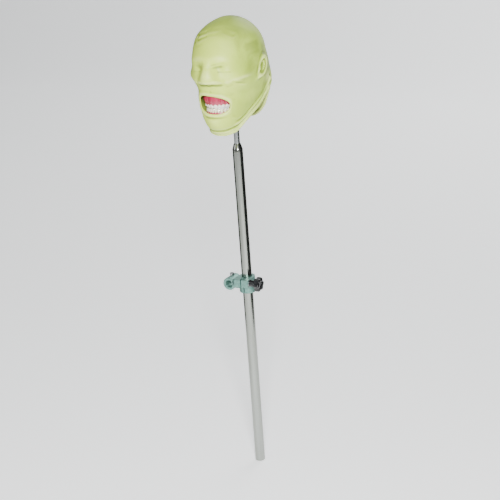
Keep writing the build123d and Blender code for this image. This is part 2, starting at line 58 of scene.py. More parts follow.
# ---- Studio: camera, floor and lamps ------------------------------------------------------------
# A pale sweep of card stands under and behind the head, lit by one broad lamp beside the camera, a
# weaker one from the far side and one high over the card. Two black flags, which only polished
# surfaces see, stand beside the object and give the steel its dark edges. Metres.
camera_place = Vector((1.182, -2.093, 1.292))
camera_aim = Vector((0.012, 0.0, 0.497))
camera_roll = math.radians(-4.1)
lens = 86.0

bpy.ops.object.camera_add(location=camera_place)
camera = bpy.context.object
camera.rotation_mode = "QUATERNION"
facing = (camera_aim - camera_place).to_track_quat("-Z", "Y")
camera.rotation_quaternion = facing @ Quaternion((0, 0, 1), camera_roll)
camera.data.lens = lens
bpy.context.scene.camera = camera

sweep_material = bpy.data.materials.new("pale_card")
sweep_material.use_nodes = True
card = sweep_material.node_tree.nodes["Principled BSDF"]
card.inputs["Base Color"].default_value = (0.93, 0.94, 0.94, 1)
card.inputs["Roughness"].default_value = 0.9
card.inputs["Emission Color"].default_value = (0.97, 0.99, 1.0, 1)
card.inputs["Emission Strength"].default_value = 0.6

floor_drop = 0.0006
bpy.ops.mesh.primitive_plane_add(size=9.0, location=(0, 0.4, -floor_drop))
sweep = bpy.context.object
sweep.name = "studio_sweep"


def pick(thing, kind, wanted):
    """Leaves thing in edit mode with only the wanted faces, edges or vertices selected."""
    bpy.ops.object.mode_set(mode="EDIT")
    bpy.ops.mesh.select_mode(type={"polygons": "FACE", "edges": "EDGE", "vertices": "VERT"}[kind])
    bpy.ops.mesh.select_all(action="DESELECT")
    bpy.ops.object.mode_set(mode="OBJECT")
    for part in getattr(thing.data, kind):
        part.select = bool(wanted(part))
    bpy.ops.object.mode_set(mode="EDIT")


pick(sweep, "edges", lambda e: all(sweep.data.vertices[i].co.y > 0 for i in e.vertices))
bpy.ops.mesh.extrude_region_move(TRANSFORM_OT_translate={"value": (0, 0, 5.0)})
bpy.ops.object.mode_set(mode="OBJECT")
bend = sweep.modifiers.new("curved foot", "BEVEL")
bend.width = 1.2
bend.segments = 12
bpy.ops.object.modifier_apply(modifier=bend.name)
bpy.ops.object.shade_smooth()
sweep.data.materials.append(sweep_material)


def lamp(name, place, size, power, aim):
    """A square soft box that faces aim."""
    bpy.ops.object.light_add(type="AREA", location=place)
    light = bpy.context.object
    light.name = name
    light.data.size = size
    light.data.energy = power
    light.rotation_euler = (Vector(aim) - Vector(place)).to_track_quat("-Z", "Y").to_euler()


lamp("key_box", (1.15, -1.95, 1.72), 0.5, 128.0, (0, 0, 0.80))
lamp("fill_box", (-1.6, -1.5, 1.7), 1.2, 9.0, (0, 0, 0.70))
lamp("card_box", (0.3, 3.2, 3.0), 2.4, 80.0, (0.0, 3.0, 0))
flag_black = bpy.data.materials.new("black_felt")
flag_black.use_nodes = True
felt = flag_black.node_tree.nodes["Principled BSDF"]
felt.inputs["Base Color"].default_value = (0.01, 0.01, 0.01, 1)
felt.inputs["Roughness"].default_value = 1.0
flag_distance = 0.8
for side, swing, width in (("right", 90, 1.6), ("left", -126, 0.85)):
    ray = math.atan2(camera_place.y, camera_place.x) + math.radians(swing)
    bpy.ops.mesh.primitive_plane_add(
        size=1, location=(flag_distance * math.cos(ray), flag_distance * math.sin(ray), 0.8),
        rotation=(math.pi / 2, 0, ray + math.pi / 2))
    flag = bpy.context.object
    flag.name = f"black_flag_{side}"
    flag.scale = (width, 1.6, 1)
    flag.data.materials.append(flag_black)
    flag.visible_camera = False
    flag.visible_diffuse = False
    flag.visible_shadow = False
world = bpy.data.worlds.new("studio")
world.use_nodes = True
world.node_tree.nodes["Background"].inputs["Color"].default_value = (0.95, 0.97, 1.0, 1)
world.node_tree.nodes["Background"].inputs["Strength"].default_value = 0.22
bpy.context.scene.world = world


# ---- Face mask ----------------------------------------------------------------------------------
# A latex hood, cast in one piece about 2.4 mm thick and stretched over the skull form. The mouth is
# cut open, the lower edge is a rolled hem that climbs to a notch behind each ear, and a flap hangs
# over the nape. Its own stretch holds it on. Heights are millimetres above the neck fork.
mm = 0.001
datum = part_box("neck_fork")[0].z
crown = 216.8
widest = 121.0          # height where the dome of the skull begins
hem_lift = 10.0         # width of the band between the hem and its crease
second_roll = 16.5      # height above the hem of the roll behind the jaw
hem_bead_r = 2.7
lip_bead_r = 1.35
mask_wall = 2.4
mouth_middle = 54.5
mouth_half = (34.5, 18.5)
mouth_tilt = -0.115     # the mouth hangs lower on the head's left
ear_y, ear_h = -9.0, 119.0
ear_half = (12.5, 20.5)
ear_lean = 0.5          # how far back the ear leans for each millimetre up

# height, half width, front and back of the face and jaw
face_levels = (
    (-14, 19, -55, -6), (-10, 25, -66, 2), (3, 34, -82, 20), (20, 44, -90.5, 38), (46, 55, -94, 68),
    (73, 64.5, -91, 88), (98, 72, -94, 89), (121, 72.5, -96, 88), (146, 69.5, -94, 82),
    (168, 66, -85, 74), (186, 58, -73, 62), (201, 43, -52, 47), (211, 26, -28, 30),
    (216, 10, -8, 12), (216.8, 0, 2, 2),
)
# the same for the hood behind the ears, whose flap hangs below the jaw's rear
nape_levels = (
    (-14, 36, -40, 47), (3, 43, -44, 54), (20, 50, -52, 64), (46, 59, -74, 78), (73, 66, -91, 88),
    (98, 72, -94, 89), (121, 72.5, -96, 88), (146, 69.5, -94, 82), (168, 66, -85, 74),
    (186, 58, -73, 62), (201, 43, -52, 47), (211, 26, -28, 30), (216, 10, -8, 12),
    (216.8, 0, 2, 2),
)
# degrees round from the face, height of the hem
hem_heights = (
    (0, -11), (30, -10), (52, -6.5), (70, -1), (80, 9), (90, 27), (98, 45), (104, 62), (109, 71),
    (114, 62), (122, 41), (138, 20), (158, 7), (180, 3),
)


def through(points, at):
    """A smooth curve through (x, y) points, read at x."""
    x, y = np.array(points, float).T
    slope = np.gradient(y, x)
    at = np.clip(at, x[0], x[-1])
    i = np.clip(np.searchsorted(x, at) - 1, 0, len(x) - 2)
    step = x[i + 1] - x[i]
    t = (at - x[i]) / step
    return (
        (2 * t ** 3 - 3 * t ** 2 + 1) * y[i] + (t ** 3 - 2 * t ** 2 + t) * step * slope[i]
        + (3 * t ** 2 - 2 * t ** 3) * y[i + 1] + (t ** 3 - t ** 2) * step * slope[i + 1]
    )


def ease(low, high, at):
    """0 below low, 1 above high, and a smooth step between."""
    t = np.clip((at - low) / (high - low), 0, 1)
    return t * t * (3 - 2 * t)


def bump(x, z, x0, z0, half_x, half_z):
    """A soft round hill of height 1 at x0, z0."""
    return np.exp(-((x - x0) / half_x) ** 2 - ((z - z0) / half_z) ** 2)


def groove(x, z, start, end, half):
    """A soft crease of depth 1 along a straight run."""
    run = np.array(end, float) - np.array(start, float)
    along = ((x - start[0]) * run[0] + (z - start[1]) * run[1]) / run.dot(run)
    held = np.clip(along, 0, 1)
    off = np.hypot(x - start[0] - held * run[0], z - start[1] - held * run[1])
    return np.exp(-(off / half) ** 2)


def height_at(dip):
    """Height above the datum, from the angle down from the crown in degrees."""
    dome = widest + (crown - widest) * np.cos(np.radians(np.minimum(dip, 90)))
    return dome - np.maximum(dip - 90, 0) * math.radians(1) * (crown - widest)


def dip_at(height):
    """The angle down from the crown of a height, the reverse of height_at."""
    share = np.clip((height - widest) / (crown - widest), 0, 1)
    fall = np.maximum(widest - height, 0) / (crown - widest)
    return np.degrees(np.arccos(share)) + np.degrees(fall)


def level(table, column, dip):
    """One column of a table of levels, smoothed over the angle down from the crown."""
    points = [(float(dip_at(row[0])), row[column]) for row in reversed(table)]
    return through(points, dip)


def mouth_ratio(x, height):
    """1 on the edge of the mouth, less inside it."""
    v = (height - mouth_middle - mouth_tilt * x) / mouth_half[1]
    u = x / (mouth_half[0] * (1 + 0.10 * np.clip(v, -1, 1)))
    return (np.abs(u) ** 2.5 + np.abs(v) ** 2.2) ** (1 / 2.35)


def relief(x, y, h, turn, hem):
    """How far the face stands out from the plain head, in millimetres."""
    side = np.abs(x)
    front = ease(100, 60, turn)
    out = 3.6 * np.exp(-((h - 147 + (x / 34) ** 2 * 3) / 12) ** 2) * np.exp(-(x / 50) ** 4) * front
    # nose: a broad bridge that grows to a blunt tip, wings, and a steep underside with two nostrils
    bridge = ease(154, 106, h) * 17 * np.exp(-(np.abs(x) / (9.5 + 8.0 * ease(142, 104, h))) ** 2.2)
    under = ease(93.5, 100.5, h)
    out = np.maximum(out, 0) + bridge * under * front
    out += 3.6 * bump(side, h, 16.5, 101, 7, 6) * ease(93, 98, h) * front
    out -= 2.6 * bump(side, h, 7.0, 95.5, 3.6, 2.4) * front
    # closed eyes, half lost in shallow hollows under the stretched latex
    out -= 5.0 * bump(side, h, 25, 127, 12, 11) * front
    out += 2.2 * bump(side, h, 31, 124, 12, 7) * front
    out -= 0.5 * groove(side, h, (21, 120.5), (41, 119.5), 2.0) * front
    # cheekbones, hollows below them, and the folds beside nose and mouth
    cheek = 3.0 * groove(side, h, (36, 103), (62, 111), 10) - 3.4 * bump(side, h, 50, 80, 12, 13)
    cheek += 0.9 * groove(side, h, (34, 99), (60, 107), 5.0)
    cheek -= 1.1 * groove(side, h, (35, 91), (58, 99), 5.0)
    out += cheek * ease(88, 62, turn)
    out -= 0.7 * groove(side, h, (22, 93), (38, 75), 5.0) * front
    out -= 1.0 * groove(side, h, (40, 62), (37, 30), 3.6) * front
    out -= 0.5 * bump(x, h, 0, 84, 3.4, 8) * front
    # lips round the mouth, the fold under the lower lip, and the chin
    lip = (mouth_ratio(x, h) - 1) * 22
    out += 1.7 * np.exp(-((lip - 2.6) / 4.0) ** 2) * front
    out -= 1.6 * bump(x, h, 0, 29.5, 20, 3.6) * front
    out += 3.0 * bump(x, h, 0, 18, 17, 9.5) * front
    # temples, and the loose latex behind the ears
    out -= 1.6 * bump(turn, h, 58, 140, 13, 13)
    out += 6.0 * bump(turn, h, 117, 84, 17, 21)
    # folds that the stretched latex makes on the forehead and the temple
    for start, end, deep in (
        ((-40, 186), (-18, 193), 2.8), ((-34, 178), (-12, 186), 2.2), ((-16, 196), (14, 200), 2.2),
        ((-46, 172), (-36, 184), 2.2), ((18, 196), (40, 186), 1.9), ((-8, 188), (10, 190), 1.4),
        ((2, 128), (26, 131), 0.5), ((6, 134), (30, 138), 0.5), ((44, 100), (58, 94), 0.7),
        ((-38, 166), (-20, 172), 0.6),
    ):
        out -= deep * groove(x, h, start, end, 2.6) * front
    # loose ripples
    out += 0.45 * np.sin(h * 0.12 + x * 0.07) * np.sin(x * 0.10 - h * 0.05 + 1) * front
    # ears, pressed flat by the hood: a rim that leans back and is open to the face, and a lobe
    back = (y - ear_y - ear_lean * (h - ear_h)) / ear_half[0]
    up = (h - ear_h) / ear_half[1]
    rim = np.hypot(back, up)
    ear_side = ease(50, 62, turn) * ease(125, 112, turn)
    open_front = 0.22 + 0.78 * ease(-0.8, 0.2, back + 0.35 * up)
    out += 7.4 * np.exp(-((rim - 0.86) / 0.22) ** 2) * open_front * ear_side
    out += 1.6 * np.exp(-(rim / 0.9) ** 4) * ear_side
    out -= 2.2 * bump(back, up, -0.05, -0.02, 0.42, 0.50) * ear_side
    out += 3.0 * bump(back, up, -0.25, -0.92, 0.42, 0.30) * ear_side
    inner_fold = 2.8 * ease(-0.25, 0.35, 0.8 * back + 0.5 * up) * ear_side
    out += np.exp(-((rim - 0.46) / 0.13) ** 2) * inner_fold
    out += 3.4 * bump(back, up, -0.74, -0.18, 0.17, 0.24) * ear_side
    # the rolled band along the hem, the crease above it, and the second roll behind the jaw
    above = h - hem
    behind = ease(48, 72, turn)
    out += 2.0 * np.exp(-((above - 3) / 4.5) ** 2) - 2.3 * np.exp(-((above - hem_lift) / 2.4) ** 2)
    out += behind * 2.6 * np.exp(-((above - second_roll) / 3.6) ** 2)
    out -= behind * 1.8 * np.exp(-((above - second_roll - 7) / 3.0) ** 2)
    return out


def head_surface(turn, dip, inset=0.0):
    """Points of the mask's face, in metres.

    Turn is degrees round from the nose and dip degrees from the crown.
    """
    size = np.abs(turn)
    mix = ease(82, 112, size)
    half, front, back = (
        level(face_levels, c, dip) * (1 - mix) + level(nape_levels, c, dip) * mix for c in (1, 2, 3)
    )
    a = np.radians(turn)
    x = half * np.sin(a)
    y = (front + back) / 2 - (back - front) / 2 * np.cos(a)
    h = height_at(dip)
    dome = np.sin(np.radians(np.minimum(dip, 90)))
    grown = relief(x, y, h, size, through(hem_heights, size)) * ease(0.25, 0.6, dome) - inset
    out_x = np.sin(a) * (back - front) / 2
    out_y = -np.cos(a) * half
    long = np.maximum(np.hypot(out_x, out_y), 1e-6)
    x = x + grown * out_x / long * dome
    y = y + grown * out_y / long * dome
    h = h - inset * np.cos(np.radians(np.minimum(dip, 90)))
    return np.stack([x * mm, y * mm, datum + h * mm], -1)


def wound(u):
    """Spreads the mesh's columns: closer at the face and the ears, wider behind. Degrees."""
    a = np.radians(u)
    return u - np.degrees(0.42 * np.sin(a) - 0.09 * np.sin(2 * a))


bpy.ops.mesh.primitive_uv_sphere_add(segments=256, ring_count=150, radius=1.0)
mask = bpy.context.object
mask.name = "rubber_mask"
ball = np.array([v.co for v in mask.data.vertices])
column = np.degrees(np.arctan2(ball[:, 0], -ball[:, 1]))
turn = np.sign(column) * wound(np.abs(column))
share = np.arccos(np.clip(ball[:, 2], -1, 1)) / math.pi
last_ring = 149 / 150   # the ring of the ball that becomes the hem
dip = dip_at(through(hem_heights, np.abs(turn))) * np.clip(share / last_ring, 0, 1) ** 0.88


def flat_place(turn, dip):
    """x and height of a mesh point on the plain head."""
    half = level(face_levels, 1, dip)
    return half * np.sin(np.radians(turn)), height_at(dip), half


x, h, half = flat_place(turn, dip)
ratio = np.where(np.abs(turn) < 75, mouth_ratio(x, h), 9.0)
cut = [np.mean(ratio[list(f.vertices)]) < 1 for f in mask.data.polygons]
open_below = [share[list(f.vertices)].max() > 1 - 1e-4 for f in mask.data.polygons]
inner, outer = set(), set()
for face, gone in zip(mask.data.polygons, cut):
    (inner if gone else outer).update(face.vertices)
rim = np.array(sorted(inner & outer))
for _ in range(6):
    pull = 1 / mouth_ratio(x[rim], h[rim])
    x[rim] *= pull
    h[rim] = mouth_middle + (h[rim] - mouth_middle) * pull
dip[rim] = dip_at(h[rim])
turn[rim] = np.degrees(np.arcsin(np.clip(x[rim] / level(face_levels, 1, dip[rim]), -1, 1)))
mask.data.vertices.foreach_set("co", head_surface(turn, dip).ravel())
pick(mask, "polygons", lambda f: cut[f.index] or open_below[f.index])
bpy.ops.mesh.delete(type="FACE")
bpy.ops.mesh.select_all(action="SELECT")
bpy.ops.mesh.normals_make_consistent(inside=False)
bpy.ops.object.mode_set(mode="OBJECT")


def thicken(sheet, thickness):
    """Gives an open sheet a closed wall on its inner side, in millimetres."""
    wall = sheet.modifiers.new("wall", "SOLIDIFY")
    wall.thickness = thickness * mm
    wall.offset = -1
    bpy.ops.object.modifier_apply(modifier=wall.name)


thicken(mask, mask_wall)
bpy.ops.object.shade_smooth()


def tube(name, points, radius, closed, sides=6):
    """A round bead along points, as a mesh."""
    data = bpy.data.curves.new(name, "CURVE")
    data.dimensions = "3D"
    data.bevel_depth = radius
    data.bevel_resolution = sides
    spline = data.splines.new("POLY")
    spline.points.add(len(points) - 1)
    spline.points.foreach_set("co", np.c_[points, np.ones(len(points))].ravel())
    spline.use_cyclic_u = closed
    thing = bpy.data.objects.new(name, data)
    bpy.context.scene.collection.objects.link(thing)
    bpy.ops.object.select_all(action="DESELECT")
    thing.select_set(True)
    bpy.context.view_layer.objects.active = thing
    bpy.ops.object.convert(target="MESH")
    bpy.ops.object.shade_smooth()
    return bpy.context.object


hem_turn = np.linspace(-180, 180, 480, endpoint=False)
hem_dip = dip_at(through(hem_heights, np.abs(hem_turn)))
hem_bead = tube("hem_bead", head_surface(hem_turn, hem_dip, -0.7), hem_bead_r * mm, True)
around = np.linspace(0, 2 * math.pi, 160, endpoint=False)
edge_x = mouth_half[0] * np.cos(around)
edge_h = mouth_middle + mouth_half[1] * np.sin(around)
for _ in range(6):
    pull = 1 / mouth_ratio(edge_x, edge_h)
    edge_x *= pull
    edge_h = mouth_middle + (edge_h - mouth_middle) * pull
edge_dip = dip_at(edge_h)
edge_turn = np.degrees(np.arcsin(edge_x / level(face_levels, 1, edge_dip)))
lip_bead = tube("lip_bead", head_surface(edge_turn, edge_dip, 1.2), lip_bead_r * mm, True)


def join(first, *others):
    """Makes one mesh of several."""
    bpy.ops.object.select_all(action="DESELECT")
    for thing in (first, *others):
        thing.select_set(True)
    bpy.context.view_layer.objects.active = first
    bpy.ops.object.join()
    return first


join(mask, hem_bead, lip_bead)


def mark_folds(thing, reach=5):
    """Stores a point attribute, fold: above 0 on ridges, below 0 in creases.

    It is the height over the smoothed surface, in tenths of a millimetre. The latex paints shade
    into the creases and a highlight onto the ridges from it.
    """
    places = np.array([v.co for v in thing.data.vertices])
    edges = np.array([e.vertices[:] for e in thing.data.edges])
    count = np.bincount(edges.ravel(), minlength=len(places))[:, None]
    soft = places.copy()
    for _ in range(reach):
        total = np.zeros_like(soft)
        np.add.at(total, edges[:, 0], soft[edges[:, 1]])
        np.add.at(total, edges[:, 1], soft[edges[:, 0]])
        soft = (soft + total / np.maximum(count, 1)) / 2
    normals = np.array([v.normal for v in thing.data.vertices])
    height = ((places - soft) * normals).sum(axis=1) * 10000
    thing.data.attributes.new("fold", "FLOAT", "POINT").data.foreach_set("value", height)


mark_folds(mask)


def link(material, start, end):
    """Joins two sockets, each given as (node, name)."""
    material.node_tree.links.new(start[0].outputs[start[1]], end[0].inputs[end[1]])


def finish(name, light, dark, grain, rough, rise=0.1, deep=0.0002, stretch=(1, 1, 1), **more):
    """A material of two shades mixed by noise, with uneven gloss and a fine bump.

    Grain is per metre, rough is the smoothest and roughest, and more holds plain shader values.
    """
    made = bpy.data.materials.new(name)
    made.use_nodes = True
    nodes = made.node_tree.nodes
    shader = nodes["Principled BSDF"]
    for socket, value in more.items():
        shader.inputs[socket.replace("_", " ").title().replace("Ior", "IOR")].default_value = value
    place = nodes.new("ShaderNodeTexCoord")
    spread = nodes.new("ShaderNodeMapping")
    spread.inputs["Scale"].default_value = stretch
    link(made, (place, "Object"), (spread, "Vector"))
    noise = nodes.new("ShaderNodeTexNoise")
    noise.inputs["Scale"].default_value = grain
    noise.inputs["Detail"].default_value = 6
    link(made, (spread, "Vector"), (noise, "Vector"))
    tone = nodes.new("ShaderNodeValToRGB")
    tone.color_ramp.elements[0].position = 0.32
    tone.color_ramp.elements[0].color = (*dark, 1)
    tone.color_ramp.elements[1].position = 0.68
    tone.color_ramp.elements[1].color = (*light, 1)
    link(made, (noise, "Fac"), (tone, "Fac"))
    link(made, (tone, "Color"), (shader, "Base Color"))
    gloss = nodes.new("ShaderNodeMapRange")
    gloss.inputs["To Min"].default_value = rough[0]
    gloss.inputs["To Max"].default_value = rough[1]
    link(made, (noise, "Fac"), (gloss, "Value"))
    link(made, (gloss, "Result"), (shader, "Roughness"))
    fine = nodes.new("ShaderNodeTexNoise")
    fine.inputs["Scale"].default_value = grain * 7
    fine.inputs["Detail"].default_value = 3
    link(made, (spread, "Vector"), (fine, "Vector"))
    raised = nodes.new("ShaderNodeBump")
    raised.inputs["Strength"].default_value = rise
    raised.inputs["Distance"].default_value = deep
    link(made, (fine, "Fac"), (raised, "Height"))
    link(made, (raised, "Normal"), (shader, "Normal"))
    return made


def tint(made, driver, low, high, colour, amount=1.0):
    """Mixes colour into a finish's base where driver, a (node, socket), runs from low to high."""
    nodes = made.node_tree.nodes
    shader = nodes["Principled BSDF"]
    before = shader.inputs["Base Color"].links[0].from_socket
    span = nodes.new("ShaderNodeMapRange")
    span.interpolation_type = "SMOOTHSTEP"
    span.inputs["From Min"].default_value = low
    span.inputs["From Max"].default_value = high
    span.inputs["To Max"].default_value = amount
    link(made, driver, (span, "Value"))
    mix = nodes.new("ShaderNodeMix")
    mix.data_type = "RGBA"
    mix.inputs[7].default_value = (*colour, 1)
    link(made, (span, "Result"), (mix, 0))
    made.node_tree.links.new(before, mix.inputs[6])
    made.node_tree.links.new(mix.outputs[2], shader.inputs["Base Color"])


def axis_of(made, letter):
    """The (node, socket) that gives a point's X, Y or Z."""
    nodes = made.node_tree.nodes
    place = nodes.new("ShaderNodeTexCoord")
    split = nodes.new("ShaderNodeSeparateXYZ")
    link(made, (place, "Object"), (split, "Vector"))
    return split, letter


latex = finish("latex", (0.44, 0.58, 0.085), (0.30, 0.43, 0.040), 22, (0.40, 0.56), rise=0.12,
               specular_ior_level=0.42)
# painted shade: the latex is darkened towards the crown of the head
tint(latex, axis_of(latex, "Z"), datum + 0.150, datum + 0.222, (0.24, 0.33, 0.03), 0.6)
# painted shade: the back of the head, turned away from the lamps, is darkened
tint(latex, axis_of(latex, "Y"), -0.005, 0.070, (0.28, 0.36, 0.04), 0.4)
patches = latex.node_tree.nodes.new("ShaderNodeTexNoise")
patches.inputs["Scale"].default_value = 17
patches.inputs["Detail"].default_value = 4
patches.inputs["Distortion"].default_value = 0.8
patch_place = latex.node_tree.nodes.new("ShaderNodeTexCoord")
link(latex, (patch_place, "Object"), (patches, "Vector"))
tint(latex, (patches, "Fac"), 0.50, 0.66, (0.17, 0.24, 0.02), 0.55)
# painted highlight: the face is lightened towards its front, where the key lamp falls
tint(latex, axis_of(latex, "Y"), -0.030, -0.098, (0.66, 0.82, 0.11), 0.6)
# painted shade and highlight: creases are darkened and ridges lightened by the fold attribute
fold = latex.node_tree.nodes.new("ShaderNodeAttribute")
fold.attribute_name = "fold"
tint(latex, (fold, "Fac"), -0.3, -3.0, (0.14, 0.20, 0.015), 0.7)
tint(latex, (fold, "Fac"), 0.4, 3.2, (0.80, 0.88, 0.34), 0.45)
mask.data.materials.clear()
mask.data.materials.append(latex)
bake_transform(mask)
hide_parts("face_mask")


# ---- Front shell --------------------------------------------------------------------------------
# A thin moulded cap over the forehead and temples fills out the front of the hood, and is screwed
# to the skull frame at its sides. It follows the inside of the latex with a small gap.
shell_gap = 3.7         # from the outside of the latex to the shell
shell_wall = 2.6
shell_foot = 93.0       # height of its lower edge
shell_turn = 88         # degrees that it reaches round each side


def mend(weld):
    """Merges the active mesh's doubles within weld metres and points its faces outwards."""
    bpy.ops.object.mode_set(mode="EDIT")
    bpy.ops.mesh.select_all(action="SELECT")
    bpy.ops.mesh.remove_doubles(threshold=weld)
    bpy.ops.mesh.normals_make_consistent(inside=False)
    bpy.ops.object.mode_set(mode="OBJECT")


def turn_over():
    """Turns every face of the active mesh over."""
    bpy.ops.object.mode_set(mode="EDIT")
    bpy.ops.mesh.select_all(action="SELECT")
    bpy.ops.mesh.flip_normals()
    bpy.ops.object.mode_set(mode="OBJECT")


def settle(piece, body, material, slot_name, *nodes):
    """Gives a finished piece its material and its body, and hides the nodes it stands for; slot_name
    is not used.
    """
    piece.data.materials.clear()
    piece.data.materials.append(material)
    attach(piece, body)
    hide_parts(*nodes)


bpy.ops.object.select_all(action="DESELECT")
bpy.ops.mesh.primitive_grid_add(x_subdivisions=120, y_subdivisions=80, size=2)
shell = bpy.context.object
shell.name = "front_cap"
flat = np.array([v.co for v in shell.data.vertices])
shell.data.vertices.foreach_set("co", head_surface(
    flat[:, 0] * shell_turn, (1 + flat[:, 1]) / 2 * dip_at(shell_foot), shell_gap).ravel())
mend(weld=0.00002)
if sum(f.normal.y * f.area for f in shell.data.polygons) > 0:
    turn_over()
thicken(shell, shell_wall)
bpy.ops.object.shade_smooth_by_angle(angle=math.radians(40))
moulded = finish("moulded_shell", (0.74, 0.72, 0.64), (0.64, 0.61, 0.53), 70, (0.42, 0.60),
                 rise=0.14)
settle(shell, "head", moulded, "shell_plastic", "skull_front_shell")


# ---- Gums ---------------------------------------------------------------------------------------
# Each jaw's gum is a soft moulded arch that hugs the necks of the teeth in scallops, swells over
# the roots and laps over the edge of the jaw's base. The upper one closes over the palate.
arch_y = -37.0
arch_side = {"upper": 31.0, "lower": 29.5}
arch_depth = {"upper": 46.0, "lower": 44.0}
arch_tail = 3.6         # the arch runs straight this far past its widest part
gum_wall = 1.5
gum_line = {"upper": 7.9, "lower": 8.5}         # from the bite to the gum's edge
gum_flare = {"upper": 8.5, "lower": 2.0}        # how far its rim spreads towards the cheeks
gum_end = {"upper": 9.2, "lower": 16.0}         # rise of its inner edge, at the palate or the base
gum_sink = 0.35         # how far it sinks between roots, as a share of its swell over them
# width along the arch and thickness across it, of each tooth from the middle back
tooth_sizes = {
    "upper": {
        "central_incisor": (8.5, 6.4), "lateral_incisor": (6.5, 5.8), "canine": (7.6, 7.4),
        "first_premolar": (6.9, 8.4), "second_premolar": (6.8, 8.6), "first_molar": (10.2, 10.2),
        "second_molar": (9.2, 10.0),
    },
    "lower": {
        "central_incisor": (5.2, 5.6), "lateral_incisor": (5.8, 5.8), "canine": (6.8, 6.9),
        "first_premolar": (6.9, 7.6), "second_premolar": (7.1, 8.0), "first_molar": (10.8, 9.8),
        "second_molar": (10.2, 9.6),
    },
}
bite = (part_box("upper_left_central_incisor")[0].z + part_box("lower_left_central_incisor")[1].z) / 2


def arch_table(jaw):
    """Turns round the arch, in degrees, and the length walked from its middle at each."""
    turns = np.linspace(0, 90, 1801)
    a = np.radians(turns)
    speed = np.hypot(arch_side[jaw] * np.cos(a), arch_depth[jaw] * np.sin(a))
    walked = np.concatenate([[0], np.cumsum((speed[1:] + speed[:-1]) / 2 * np.diff(a))])
    return turns, walked


def arch_place(jaw, walked):
    """Points of the tooth line, and the outward direction there, at lengths from its middle."""
    turns, lengths = arch_table(jaw)
    size = np.abs(walked)
    a = np.radians(np.interp(size, lengths, turns))
    side = np.sign(walked) + (walked == 0)
    beyond = np.maximum(size - lengths[-1], 0)
    x = side * arch_side[jaw] * np.sin(a)
    y = arch_y - arch_depth[jaw] * np.cos(a) + beyond
    out_x = side * arch_depth[jaw] * np.sin(a)
    out_y = -arch_side[jaw] * np.cos(a)
    long = np.hypot(out_x, out_y)
    return x, y, out_x / long, out_y / long


def tooth_row(jaw):
    """Name, middle, width and thickness of each tooth on one side."""
    row, start = [], 0.0
    for name, (width, thick) in tooth_sizes[jaw].items():
        row.append((name, start + width / 2, width, thick))
        start += width
    return row


